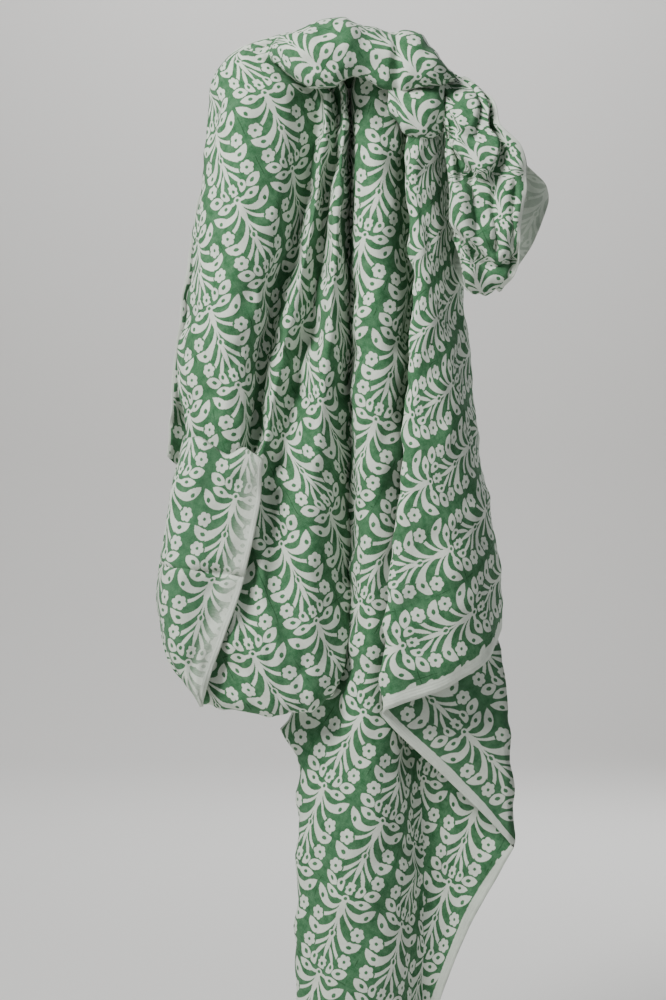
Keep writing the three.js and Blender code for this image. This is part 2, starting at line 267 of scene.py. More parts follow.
printLook = {
    "cellAcross": 60,  # mm, one repeat of the block across the cloth
    "cellAlong": 72,  # and along it
    "cellStart": -3.5,  # a strike of the block starts this far above a plume's head
    "ink": (0.030, 0.122, 0.047),
    "inkWorn": (0.108, 0.250, 0.132),
    "inkDark": (0.018, 0.068, 0.026),  # where two strikes overlap
    "cotton": (0.70, 0.765, 0.675),
    "cottonRange": (0.84, 1.12),  # its darkest and lightest threads, as shares of that
    "reverseInk": (0.042, 0.140, 0.062),
    "edgeBlur": 0.30,  # mm over which an edge of ink fades
    "edgeRough": 1.2,  # mm by which the edge of the ink is ragged
    "wobble": 2.0,  # mm by which the carved lines wander
    "wobbleScale": 45.0,  # over a metre of cloth, how often they wander
    "wornShares": (0.45, 0.35, 0.2),  # of mottle, threads and fine grain in how worn the ink is
    "wornContrast": 4.0,
    "wornLevel": 0.40,
    "shadeShares": (0.9, 1.2, 0.6),  # of the same in the shade of the cotton
    "overlap": 0.8,  # how dark the lines between two strikes are
    "jointRough": 1.4,  # mm by which such a line is ragged
    "jointSteps": (0.1, 0.6),  # mm from its middle over which it fades
    "strikeSteps": (0.52, 0.62),  # levels of the grain between which such lines set in
    "fade": 0.70,  # share of the ink missing on the faintest reverse, the lobe's back layer: partly its paler face, partly painted light that lightens that shaded layer
    "faint": 0.50,  # and along the turned selvedge, with up to this much more in streaks
    "streaks": 0.30,
    "streakSteps": (0.34, 0.66),
    "faintFrom": 8.0,  # mm from the selvedge's edge where the ink is faintest
    "faintTo": 30.0,  # and where it is whole
    "selvedgeWidth": 10,  # mm without ink
    "selvedgeWander": 1.6,
    "selvedgeBlur": (0.5, 0.4),  # mm before and after that width
    "threadStretch": 0.12,  # how much slower the threads change along than across
    "bump": 0.6,
    "bumpDepth": 0.0004,
    "threadRibs": 7.9,  # radians to a mm
    "selvedgeRibs": 2.6,
    "roughness": 0.92,
    "specular": 0.2,
    "sheen": 0.06,
    "sheenRoughness": 0.5,
}

# shares of each in the height of the weave
relief = {"thread": 1.2, "ribs": 0.05, "selvedgeRibs": 0.3, "mottle": 0.6, "fine": 0.4}

# the cloth's grains: cycles per mm, detail and roughness of each
grains = {
    "edge": (0.9, 3.0, 0.6),
    "fine": (3.2, 2.0, 0.5),
    "thread": (1.5, 2.0, 0.5),
    "mottle": (0.16, 4.0, 0.6),
    "selvedge": (0.25, 2.0, 0.5),
    "strikes": (0.05, 2.0, 0.5),
    "streaks": (0.25, 3.0, 0.6),
}

# The block, in mm from a plume's head, right half only: the left half mirrors it. Every outline is an arc
# through three points. A leaf lies inside both its arcs' circles, a branch inside the first and outside the
# second.
# the stem: inside two large circles beside it, and a thread down its middle
stem = dict(head=((-29.9, 11.0), 32.6), foot=((-50.6, 45.0), 52.5), threadHalfWidth=0.8, threadMiddle=40.0,
            threadHalfLength=20.0)
leaves = [
    dict(part="wing", one=((6.0, 1.9), (14.0, -3.2), (22.0, -1.6)),
         other=((6.0, 1.9), (12.6, 4.6), (22.0, -1.6))),
    dict(part="wing's neck", one=((0.5, 0.8), (5.0, 0.0), (10.0, 0.8)),
         other=((0.5, 0.8), (5.0, 2.9), (10.0, 0.8))),
    dict(part="lower tip", one=((12.0, 40.0), (20.6, 33.5), (27.6, 32.4)),
         other=((12.0, 40.0), (23.4, 41.0), (27.6, 32.4))),
    dict(part="hanging neck", one=((2.0, 45.0), (8.0, 52.4), (10.8, 63.0)),
         other=((2.0, 45.0), (5.2, 54.2), (10.8, 63.0))),
    dict(part="hanging tip", one=((10.6, 58.0), (12.6, 63.8), (6.2, 68.3)),
         other=((10.6, 58.0), (6.4, 62.6), (6.2, 68.3))),
    dict(part="almond", one=((12.6, 65.4), (17.6, 58.6), (26.6, 59.2)),
         other=((12.6, 65.4), (20.0, 67.6), (26.6, 59.2))),
]
branches = [
    dict(part="lower tail", outer=((0.4, 20.5), (6.2, 35.6), (14.6, 43.4)),
         inner=((1.4, 14.5), (7.2, 29.6), (15.0, 34.2)), above=12.0, within=15.0, clearOf=None),
    dict(part="upper bar", outer=((1.0, 9.5), (5.6, 18.0), (14.6, 25.2)),
         inner=((1.6, 7.0), (7.6, 16.7), (15.8, 22.2)), above=5.0, within=17.0, clearOf=(21.0, 26.0)),
    dict(part="lower bar", outer=((0.6, 36.0), (4.8, 44.6), (13.4, 52.9)),
         inner=((1.0, 33.4), (6.9, 43.0), (15.0, 49.8)), above=30.0, within=16.0, clearOf=(19.8, 51.0)),
]
# the upper paisley: inside its outer circle, and inside its bulb's circle or outside its hollow's
paisley = dict(outer=((15.0, 2.7), 13.2), bulb=((32.5, 20.5), 20.2), hollow=((11.4, -0.9), 10.7), tail=17.5)
discs = [
    dict(part="plume's head", centre=(0, 0.6), radius=3.2),
    dict(part="lower bulb", centre=(18.4, 38.6), radius=5.0),
    dict(part="lower head", centre=(0, 33.6), radius=3.0),
    dict(part="hanging bulb", centre=(9.6, 61.4), radius=3.2),
]
flowers = [dict(centre=(21.0, 26.0), radius=5.0), dict(centre=(19.8, 51.0), radius=4.9)]
# mm over which neighbouring shapes grow together
blends = dict(stem=0.6, leaf=0.8, branch=0.6, disc=1.2)
petals = dict(count=6, depth=1.35, turned=0.2)  # turned is in radians
flowerClear = 7.3  # mm from a flower's centre that its branch stops
bud = dict(down=63.2, radius=5.0, squeezeAcross=1.35, squeezeDown=0.83, notches=8, notchDepth=0.55, slope=0.8,
           angleSqueeze=0.7)
# green eyes: small leaves between two ends, each arc bulging by half the width
eyes = [
    dict(start=(11.6, 1.2), end=(15.4, -0.2), width=3.0),
    dict(start=(21.4, 12.0), end=(23.2, 7.6), width=3.5),
    dict(start=(16.2, 38.8), end=(21.0, 37.6), width=3.5),
    dict(start=(9.4, 59.8), end=(9.6, 64.0), width=2.9),
    dict(start=(16.8, 63.9), end=(21.2, 61.2), width=3.3),
    dict(start=(0, 62.3), end=(0, 65.9), width=2.7),
    dict(start=(0, 31.0), end=(0, 36.2), width=2.8),
]
dots = [
    dict(centre=(0, 0.3), radius=1.5),
    dict(centre=(21.0, 26.0), radius=1.4),
    dict(centre=(19.8, 51.0), radius=1.4),
]


def circleThrough(start, middle, end):
    # centre and radius of the circle through three points: the centre is as far from each of them
    (ax, ay), (bx, by), (cx, cy) = start, middle, end
    twice = 2 * (ax * (by - cy) + bx * (cy - ay) + cx * (ay - by))
    a2, b2, c2 = ax * ax + ay * ay, bx * bx + by * by, cx * cx + cy * cy
    centre = ((a2 * (by - cy) + b2 * (cy - ay) + c2 * (ay - by)) / twice,
              (a2 * (cx - bx) + b2 * (ax - cx) + c2 * (bx - ax)) / twice)
    return centre, math.hypot(ax - centre[0], ay - centre[1])


def eyeArcs(start, end, width):
    # the two arcs of an eye, through points half its width to either side of its middle
    length = math.hypot(end[0] - start[0], end[1] - start[1])
    sideX = -(end[1] - start[1]) / length * width / 2
    sideY = (end[0] - start[0]) / length * width / 2
    middleX, middleY = (start[0] + end[0]) / 2, (start[1] + end[1]) / 2
    one = (start, (middleX + sideX, middleY + sideY), end)
    other = (start, (middleX - sideX, middleY - sideY), end)
    return one, other


def motifField(place, x, y):
    # how far a place lies outside the nearest carved shape, in mm, and less than 0 inside one: the least of
    # the shapes' own distances, blended where shapes grow together, with the eyes and dots cut out at the end
    def outside(circle):
        return place.distance(circle[0]) - circle[1]

    def outsideBoth(one, other):
        return outside(circleThrough(*one)).most(outside(circleThrough(*other)))

    fromMiddle = y.math("ABSOLUTE", y - stem["threadMiddle"])
    thread = (x - stem["threadHalfWidth"]).most(fromMiddle - stem["threadHalfLength"])
    field = outside(stem["head"]).softLeast(outside(stem["foot"]), blends["stem"])
    field = field.softLeast(thread, blends["stem"])
    for leaf in leaves:
        field = field.softLeast(outsideBoth(leaf["one"], leaf["other"]), blends["leaf"])
    for branch in branches:
        shape = outside(circleThrough(*branch["outer"])).most(0.0 - outside(circleThrough(*branch["inner"])))
        shape = shape.most(x - branch["within"]).most(branch["above"] - y)
        if branch["clearOf"]:
            shape = shape.most(flowerClear - place.distance(branch["clearOf"]))
        field = field.softLeast(shape, blends["branch"])
    tail = (0.0 - outside(paisley["hollow"])).most(x - paisley["tail"])
    shape = outside(paisley["outer"]).most(outside(paisley["bulb"]).least(tail))
    field = field.softLeast(shape, blends["branch"])
    for disc in discs:
        field = field.softLeast(outside((disc["centre"], disc["radius"])), blends["disc"])
    for flower in flowers:
        # round petals: the radius swells with the size of the cosine of half their number times the angle
        centre = flower["centre"]
        angle = x.math("ARCTAN2", y - centre[1], x - centre[0])
        cosine = angle.math("COSINE", angle * (petals["count"] / 2) + petals["turned"])
        swelling = angle.math("ABSOLUTE", cosine) * petals["depth"]
        field = field.least(outside((centre, flower["radius"])) - swelling)
    # bud: an oval with small notches
    squeeze = (bud["squeezeAcross"], bud["squeezeDown"], 1)
    squeezed = place.vector("MULTIPLY", squeeze)
    budAngle = x.math("ARCTAN2", (y - bud["down"]) * bud["angleSqueeze"], x)
    notches = x.math("COSINE", budAngle * bud["notches"]) * bud["notchDepth"]
    oval = squeezed.distance((0, bud["down"] * bud["squeezeDown"])) - bud["radius"] - notches
    field = field.least(oval * bud["slope"])
    for eye in eyes:
        field = field.most(0.0 - outsideBoth(*eyeArcs(**eye)))
    for dot in dots:
        field = field.most(dot["radius"] - place.distance(dot["centre"]))
    return field


def printedCotton(name, side):
    # side is 0 for the printed face and 1 for the reverse; a place has ink where the motif's field is above
    # 0, past the selvedge's width, less the share of ink that faded there, which on the lobe's back layer is
    # partly painted light
    material, shader = newMaterial(name)
    tree = material.node_tree
    start = Wire(tree, shader.outputs[0])
    uv = start.node("ShaderNodeUVMap", {"uv_map": "clothPlace"})
    flat = uv.scaled(1 / mm)
    values = {"Vector": uv, "Scale": printLook["wobbleScale"], "Detail": 1.0}
    drift = start.node("ShaderNodeTexNoise", {}, values, "Color")
    moved = drift.vector("SUBTRACT", (0.5, 0.5, 0.5)).scaled(printLook["wobble"])
    wandering = flat.vector("ADD", moved)
    across = start.node("ShaderNodeSeparateXYZ", {}, {0: wandering})
    along = Wire(tree, across.socket.node.outputs[1])

    # the block repeats: mirrored across the cloth, and wrapped along it
    cellAcross, cellAlong, cellStart = printLook["cellAcross"], printLook["cellAlong"], printLook["cellStart"]
    x = across.math("PINGPONG", across, cellAcross / 2)
    y = along.math("WRAP", along, cellAlong + cellStart, cellStart)
    place = start.node("ShaderNodeCombineXYZ", {}, {"X": x, "Y": y})
    field = motifField(place, x, y)

    ragged = flat.noise(*grains["edge"])
    fine = flat.noise(*grains["fine"])
    edge = field + (ragged - 0.5) * printLook["edgeRough"]
    inked = edge.step(-printLook["edgeBlur"], printLook["edgeBlur"])

    turned = start.node("ShaderNodeAttribute", {"attribute_name": "turned"}, {}, "Fac")
    selvedge = start.node("ShaderNodeAttribute", {"attribute_name": "selvedge"}, {}, "Fac") * (1 / mm)
    selvedge = selvedge + (flat.noise(*grains["selvedge"]) - 0.5) * printLook["selvedgeWander"]
    width, blur = printLook["selvedgeWidth"], printLook["selvedgeBlur"]
    printed = selvedge.step(width - blur[0], width + blur[1])
    reverse = turned if side == 0 else 1.0 - turned

    stretch = printLook["threadStretch"]
    thread = flat.noise(*grains["thread"], (1.0, stretch, 1.0)) * 0.5
    thread = thread + flat.noise(*grains["thread"], (stretch, 1.0, 1.0)) * 0.5
    mottle = flat.noise(*grains["mottle"])
    # dark lines where one strike of the block overlaps the next
    joint = (y - cellStart).least(cellAlong + cellStart - y).least(cellAcross / 2 - x)
    joint = joint + (ragged - 0.5) * printLook["jointRough"]
    strikes = flat.noise(*grains["strikes"]).step(*printLook["strikeSteps"])
    overlap = (1.0 - joint.step(*printLook["jointSteps"])) * strikes * printLook["overlap"]
    byMottle, byThread, byFine = printLook["wornShares"]
    worn = mottle * byMottle + thread * byThread + fine * byFine - 0.5
    worn = worn * printLook["wornContrast"] + printLook["wornLevel"]
    inkColour = overlap.mix(worn.mix(printLook["ink"], printLook["inkWorn"]), printLook["inkDark"])
    inkColour = reverse.mix(inkColour, worn.mix(printLook["reverseInk"], printLook["inkWorn"]))
    # painted light, in part: the lobe's back layer loses this share of its ink, both for its paler reverse
    # and to lighten it where it lies in shade
    fadingAndPaintedLight = (reverse - 1.0).most(0.0) * printLook["fade"]
    # along the turned selvedge the ink is faint, and fainter still in streaks
    faint = (1.0 - selvedge.step(printLook["faintFrom"], printLook["faintTo"])) * turned.most(0.0)
    streaks = flat.noise(*grains["streaks"], (1.0, 2.6, 1.0)).step(*printLook["streakSteps"])
    fadingAndPaintedLight = fadingAndPaintedLight.most(faint * (streaks * printLook["streaks"] + printLook["faint"]))
    byMottle, byThread, byFine = printLook["shadeShares"]
    shade = (thread - 0.5) * byThread + (mottle - 0.5) * byMottle + (fine - 0.5) * byFine + 0.5
    dark, light = ([value * share for value in printLook["cotton"]] for share in printLook["cottonRange"])
    bare = shade.mix(dark, light)
    colour = (inked * printed * (1.0 - fadingAndPaintedLight)).mix(bare, inkColour)
    tree.links.new(colour.socket, shader.inputs["Base Color"])

    # weave: fine ribs both ways, slubs, and close ridges along the selvedge
    warp = start.node("ShaderNodeSeparateXYZ", {}, {0: flat})
    weft = Wire(tree, warp.socket.node.outputs[1])
    ribs = warp.wave(printLook["threadRibs"]) + weft.wave(printLook["threadRibs"])
    edgeRibs = selvedge.wave(printLook["selvedgeRibs"]) * (1.0 - printed)
    height = thread * relief["thread"] + ribs * relief["ribs"] + edgeRibs * relief["selvedgeRibs"]
    height = height + mottle * relief["mottle"] + fine * relief["fine"]
    values = {"Strength": printLook["bump"], "Distance": printLook["bumpDepth"], "Height": height}
    bump = start.node("ShaderNodeBump", {}, values)
    tree.links.new(bump.socket, shader.inputs["Normal"])
    shader.inputs["Roughness"].default_value = printLook["roughness"]
    shader.inputs["Specular IOR Level"].default_value = printLook["specular"]
    shader.inputs["Sheen Weight"].default_value = printLook["sheen"]
    shader.inputs["Sheen Roughness"].default_value = printLook["sheenRoughness"]
    return material


# The drape: tables of folds, in mm. Drops are measured down from the hang point. In each table x and y are
# given at the drops above it, and reach is where that fold's cloth ends.

drape = {
    "domeTop": 6,
    "domeDrop": 90,  # below this the folds hang, above it they shrink to a ring over the top
    "domePower": 3.5,
    "domeCentre": (-10, -15),
    "domeHalfWidth": 104,
    "domeHalfDepth": 50,
    "pleatStart": 8,  # the folds flatten out between these drops
    "pleatFull": 70,
    "domeRows": 30,
    "clothThickness": 0.7,
}

windingDrops = [90, 240, 370, 490, 590, 720, 940]
winding = [
    dict(fold="inner end", reach=936, grain=-19.5,
         x=[4, -4, -10, -16, -16, -8, -8], y=[-4, -4, 0, 4, 8, 6, 4]),
    dict(fold="tail left edge", reach=938, grain=-19.5,
         x=[3, -8, -16, -26, -36, -37, -38], y=[-14, -14, -14, -18, -22, -22, -20]),
    dict(fold="deep crease", reach=940, grain=-19.5,
         x=[8, 8, 8, 8, -8, -18, -16], y=[-20, -19, -19, -24, -38, -44, -42]),
    dict(fold="column left", reach=940, grain=-19.5,
         x=[14, 14, 15, 17, 8, -3, -4], y=[-48, -50, -52, -54, -54, -56, -53]),
    dict(fold="column ridge", reach=938, grain=-19.5,
         x=[29, 32, 32, 27, 24, 22, 24], y=[-57, -61, -62, -62, -62, -61, -58]),
    dict(fold="column right", reach=928, grain=-20,
         x=[48, 51, 51, 48, 47, 49, 51], y=[-48, -49, -51, -51, -52, -50, -47]),
    dict(fold="inner valley", reach=884, grain=-22,
         x=[56, 60, 66, 68, 66, 72, 70], y=[-28, -24, -22, -21, -20, -20, -22]),
    dict(fold="inner panel", reach=775, grain=-25,
         x=[72, 76, 88, 101, 105, 113, 98], y=[-24, -22, -21, -21, -24, -28, -28]),
    dict(fold="right turn", reach=706, grain=-34,
         x=[84, 94, 109, 128, 143, 148, 122], y=[-30, -28, -27, -28, -34, -40, -40]),
    dict(fold="reversed panel", reach=650, grain=-45,
         x=[74, 80, 82, 86, 92, 97, 94], y=[-44, -46, -48, -50, -53, -56, -52]),
    dict(fold="panel left edge", reach=590, grain=-60,
         x=[54, 59, 52, 40, 34, 34, 34], y=[-64, -66, -68, -70, -70, -70, -68]),
    dict(fold="panel left shoulder", reach=582, grain=-62,
         x=[62, 67, 62, 52, 47, 47, 47], y=[-72, -74, -78, -81, -81, -80, -78]),
    dict(fold="panel middle", reach=568, grain=-64,
         x=[76, 82, 88, 89, 86, 86, 86], y=[-66, -66, -75, -81, -82, -80, -78]),
    dict(fold="panel right", reach=541, grain=-64,
         x=[87, 99, 111, 125, 128, 128, 128], y=[-42, -42, -50, -56, -56, -56, -56]),
    dict(fold="right edge", reach=521, grain=-65,
         x=[92, 107, 122, 139, 140, 140, 140], y=[-14, -12, -12, -14, -14, -14, -14]),
    dict(fold="back right", reach=508, grain=-67,
         x=[84, 94, 107, 122, 124, 124, 124], y=[16, 18, 20, 22, 22, 22, 22]),
    dict(fold="back valley 1", reach=494, grain=-69,
         x=[64, 71, 79, 86, 88, 88, 88], y=[-2, -4, -6, -6, -6, -6, -6]),
    dict(fold="back ridge 1", reach=479, grain=-71,
         x=[45, 47, 51, 54, 55, 55, 55], y=[24, 28, 31, 32, 32, 32, 32]),
    dict(fold="back valley 2", reach=463, grain=-72,
         x=[26, 21, 19, 16, 15, 15, 15], y=[-1, -3, -5, -6, -6, -6, -6]),
    dict(fold="back ridge 2", reach=448, grain=-73,
         x=[4, -7, -15, -22, -24, -24, -24], y=[26, 32, 35, 36, 36, 36, 36]),
    dict(fold="back valley 3", reach=433, grain=-74,
         x=[-20, -37, -49, -57, -59, -59, -59], y=[0, -2, -4, -5, -5, -5, -5]),
    dict(fold="back ridge 3", reach=418, grain=-74,
         x=[-44, -66, -81, -91, -94, -94, -94], y=[22, 28, 30, 31, 31, 31, 31]),
    dict(fold="back valley 4", reach=403, grain=-74,
         x=[-72, -92, -108, -119, -121, -121, -121], y=[-2, -3, -4, -5, -5, -5, -5]),
    dict(fold="back left", reach=388, grain=-74,
         x=[-98, -118, -131, -138, -140, -140, -140], y=[10, 12, 13, 13, 13, 13, 13]),
    dict(fold="back left edge", reach=372, grain=-74,
         x=[-110, -138, -150, -154, -154, -154, -154], y=[-4, 0, 1, 2, 2, 2, 2]),
]
windingShape = {
    "ring": (256, 546),  # degrees round the dome, of its first and last fold
    "creases": (8,),  # the turn at the right is pressed to a sharp fold
    "stepsPerFold": [4] * 2 + [8] * 12 + [5] * 10,
    "rows": 110,  # below the dome
    "ridge": 4,  # the fold down which the column's print is measured
    "firstHem": 6,  # the selvedge runs along the foot from this fold
    "lastHem": 21,  # to this one
    "beforeHem": 60,  # mm that the cloth lies further from it, for each fold before
    "afterHem": 20,  # and after
    "turnFold": 8,  # the selvedge looks narrower near this fold
    "turnNarrower": 1.8,
    "turnFades": 0.35,
    "backNarrower": 5.0,  # and along the back edge
}
windingParts = [
    dict(name="column", first=0, last=6, grain=None),
    dict(name="inner", first=6, last=8, grain=-26),
    dict(name="reversed", first=8, last=10, grain=-41),
    dict(name="front", first=10, last=24, grain=-66),
]

panelDrops = [90, 160, 240, 290, 360, 410, 495, 545, 585]
panel = [
    dict(fold="free edge", x=[-114, -123, -133, -141, -132, -144, -156, -146, -117],
         y=[-12, -12, -12, -16, -26, -34, -38, -40, -52], reach=583),
    dict(fold="left shoulder", x=[-103, -112, -121, -126, -118, -124, -134, -128, -108],
         y=[-40, -40, -40, -40, -42, -44, -46, -48, -54], reach=585),
    dict(fold="panel ridge", x=[-76, -81, -89, -95, -98, -104, -108, -104, -94],
         y=[-59, -62, -62, -60, -56, -54, -56, -58, -60], reach=588),
    dict(fold="right shoulder", x=[-47, -55, -70, -80, -85, -92, -90, -86, -78],
         y=[-54, -56, -57, -55, -52, -54, -62, -68, -66], reach=590),
    dict(fold="broad valley", x=[-19, -31, -55, -66, -74, -82, -76, -68, -60],
         y=[-28, -18, -15, -18, -25, -41, -60, -72, -70], reach=592),
    dict(fold="small ridge", x=[-12, -21, -38, -50, -63, -72, -64, -56, -48],
         y=[-50, -48, -46, -46, -48, -54, -64, -73, -71], reach=592),
    dict(fold="thin crease", x=[-2, -12, -22, -33, -48, -61, -50, -42, -34],
         y=[-32, -25, -22, -23, -29, -42, -60, -72, -70], reach=590),
    dict(fold="narrow ridge", x=[4, -2, -7, -12, -19, -26, -26, -24, -20],
         y=[-54, -54, -56, -58, -61, -63, -67, -70, -68], reach=585),
    dict(fold="deep crease", x=[9, 9, 9, 9, 9, 9, 9, 5, -9],
         y=[-20, -18, -18, -18, -18, -20, -30, -52, -60], reach=577),
]
panelShape = {
    "ring": (180, 268),
    "stepsPerFold": [10] * 8,
    "rows": 92,
    "ridge": 2,
}
pouch = {
    "turn": 14,  # radius of its foot
    "rise": 22,  # how far the cloth runs up again behind
    "rows": 16,
    "riseRows": 7,
    "drawnIn": 0.02,
    "lean": 3,
}
# short creases where the left shoulder is drawn in under the hood: from and to this place, and how deep
shoulderCreases = [
    dict(start=(-77, 21), end=(-53, 15), depth=2.2), dict(start=(-77, 27), end=(-48, 26), depth=4.5),
    dict(start=(-84, 34), end=(-52, 37), depth=3.5),
]
shoulderHalfWidth = 3
shoulderFront = -10  # only cloth in front of this depth is creased
puff = {
    "x": -67,
    "drop": 362,
    "halfWidth": 13,
    "halfHeight": 10,
    "depth": 11,
    "waves": 0.25,
    "waveLength": 9,
    "front": -20,  # only cloth in front of this depth is puffed
}

flapDrops = [361, 403, 438, 485, 525, 559, 584]
flap = {
    "fold": [-134, -144, -150, -156, -151, -137, -117],
    "selvedge": [-65, -66, -72, -83, -97, -109, -116],
    "depth": [-72, -72, -72, -73, -73, -72, -64],
    "top": [361, 359, 366, 373, 367, 380],
    "foldDepth": -38,
    "lean": 3,  # mm that its selvedge lies further back
    "columns": 29,
    "rows": [(0, 0.42, 20), (0.43, 0.53, 22), (0.545, 1, 19)],  # closer where its crease runs
    "crease": 465,  # a crease across it, at this drop
    "creaseFall": 9,  # mm by which that runs down to the right
    "creaseHalfWidth": 1.8,
    "creaseDepth": 5.0,
    "behindFold": (4, 8, 0),  # where it starts, behind its fold
    "behindTop": (0, 9, 3),  # and behind its top edge
    "edgeShift": 4.5,  # mm of its selvedge that took the ink
    "grain": -14.6,
}

hood = [
    dict(x=-60, top=24, lip=32, front=-34),
    dict(x=-55, top=15, lip=39, front=-54),
    dict(x=-46, top=11, lip=50, front=-70),
    dict(x=-34, top=7, lip=60, front=-81),
    dict(x=-20, top=2, lip=63.5, front=-88),
    dict(x=-6, top=-2, lip=65, front=-90),
    dict(x=4, top=-1, lip=59, front=-89),
    dict(x=12, top=4, lip=54, front=-86),
    dict(x=26, top=8, lip=59, front=-83),
    dict(x=40, top=9, lip=66, front=-84),
    dict(x=47, top=10, lip=68, front=-79),
    dict(x=54, top=11, lip=67, front=-86),
    dict(x=64, top=15, lip=66, front=-87),
    dict(x=78, top=26, lip=62, front=-84),
    dict(x=97, top=43, lip=58, front=-68),
]
hoodSection = [
    (-0.38, 0.55), (0.02, 0.08), (0.36, 0.0), (0.66, 0.06), (0.90, 0.28),
    (1.0, 0.58), (0.98, 0.84), (0.86, 1.0), (0.66, 0.97), (0.42, 0.82),
]
hoodShape = {"columns": 78, "rows": 56}

collar = [
    dict(x=40, top=50, lip=82, front=0.90),
    dict(x=47, top=50, lip=94, front=0.97),
    dict(x=55, top=50, lip=104, front=1.0),
    dict(x=66, top=50, lip=107, front=1.0),
    dict(x=78, top=50, lip=106, front=0.97),
    dict(x=87, top=50, lip=100, front=0.84),
]
collarSection = [(-54, 0), (-74, 0.3), (-83, 0.65), (-80, 0.92), (-68, 1.0), (-52, 0.86)]
collarShape = {"columns": 36, "rows": 30}
rolledGrain = -131

# rows run down the lobe's front layer, round its foot and up its back layer: drop, depth, left and right edge
lobe = [
    (46, -40, 76, 98), (60, -60, 82, 116), (78, -76, 86, 129), (95, -84, 87, 133),
    (115, -90, 88, 151), (132, -94, 89, 155.5), (150, -95, 90, 155), (170, -95, 92, 152),
    (189, -94, 95, 150), (205, -90, 98, 149), (219, -86, 100, 146), (230, -77, 105, 140),
    (236, -66, 113, 134), (235, -56, 110, 136), (226, -46, 102, 142), (212, -39, 97, 151),
    (192, -33, 92, 164), (172, -29, 90, 173), (152, -27, 89, 179), (141, -26, 89, 177),
    (124, -27, 88, 161), (104, -30, 88, 141), (86, -36, 87, 128),
]
# across the lobe, from 0 to 1, and how far its front layer curls back
lobeEdge = [(0.0, 14), (0.08, 4), (0.2, 0), (0.85, 0), (1.0, 6)]
# swags that hang from the lobe's upper corners: where each is lowest, across (0 to 1) and down, how far it
# rises to its sides, how far back the cloth under it lies, and over what length that comes forward again
lobeSwags = [
    dict(across=0.36, drop=104, rise=60, back=11, fade=14),
    dict(across=0.42, drop=140, rise=70, back=22, fade=26),
    dict(across=0.60, drop=211, rise=22, back=19, fade=15),
]
# creases down the lobe: across, from and to this drop, and how deep
lobeCreases = [
    dict(across=0.58, top=146, foot=206, depth=9), dict(across=0.30, top=136, foot=190, depth=6),
    dict(across=0.84, top=146, foot=222, depth=8), dict(across=0.12, top=98, foot=150, depth=8),
]
lobeShape = {
    "columns": 64,
    "rows": 132,
    "middle": 32,  # the column from which its print is measured
    "frontEnds": (11, 14),  # the swags and creases fade between these rows of the table
    "selvedgeEnds": 11.5,  # no selvedge on the back layer from this row on
    "reverseFrom": 12.5,  # the back layer shows the cloth's other face from this row on
    "stepRows": (-3, 4),  # mm over which the cloth steps back under a swag
    "swagEnds": 0.35,  # how sharply a swag ends at the lobe's sides
    "creaseHalfWidth": 0.045,  # of the lobe's width
    "creaseLean": 0.0008,  # of that, to each mm down
    "creaseFade": 8,
    "selvedgeNarrower": 3.0,
    "grain": -156,
    "gather": 1.16,  # cloth in its small gathers, for each mm that shows
    "crumple": 1.2,
}

# the corner that sticks out below the pouch
tuck = {"drop": 608, "reach": 17, "half": 12, "fold": 1, "folds": 1.5}

# where each part of the cloth falls on the block's grid, in mm, and the grain of the print, in degrees from
# straight down, at these places down the cloth
printPlaces = {
    "column": (56, 4),
    "inner": (39, 56),
    "reversed": (37, 70),
    "front": (45, 32),
    "panel": (36, 21),
    "flap": (43, 32),
    "hood": (45, 0),
    "collar": (18, 48),
    "lobe": (56, 50),
}
columnGrain = dict(down=[100, 350, 550, 760], angle=[-19.5, -19.3, -35, -24])
panelGrain = dict(down=[60, 230, 360, 560], angle=[20.7, 32, 25.2, 20.1])


def smoothThrough(places, values, at, creases=()):
    # a cubic between each two points, with harmonic-mean slopes that are flat at a turn, so it never
    # overshoots; values run along their first axis, and may hold a whole grid at each point; at a crease the
    # slopes to either side are those of the straight lines, which leaves a corner
    places = np.asarray(places, dtype=float)
    values = np.asarray(values, dtype=float)
    at = np.clip(at, places[0], places[-1])
    gaps = np.diff(places).reshape(-1, *([1] * (values.ndim - 1)))
    chords = np.diff(values, axis=0) / gaps
    before, after = chords[:-1], chords[1:]
    rising = before * after > 0
    middle = np.where(rising, 2 * before * after / np.where(rising, before + after, 1), 0)
    leaving = np.concatenate([chords[:1], middle, chords[-1:]])
    arriving = leaving.copy()
    for crease in creases:
        arriving[crease] = chords[crease - 1]
        leaving[crease] = chords[crease]
    k = np.clip(np.searchsorted(places, at, side="right") - 1, 0, len(places) - 2)
    width = np.diff(places)[k]
    t = (at - places[k]) / width

    def pick(table, index):
        return table[index] if table.ndim == 1 else np.take_along_axis(table, index[None], axis=0)[0]

    blend = t * t * (3 - 2 * t)
    return (pick(values, k) * (1 - blend) + pick(values, k + 1) * blend
            + width * (pick(leaving, k) * t * (1 - t) ** 2 - pick(arriving, k + 1) * t * t * (1 - t)))


def smoothStep(low, high, value):
    # 0 below low, 1 above high, and 3 t squared less 2 t cubed between
    t = np.clip((value - low) / (high - low), 0, 1)
    return t * t * (3 - 2 * t)


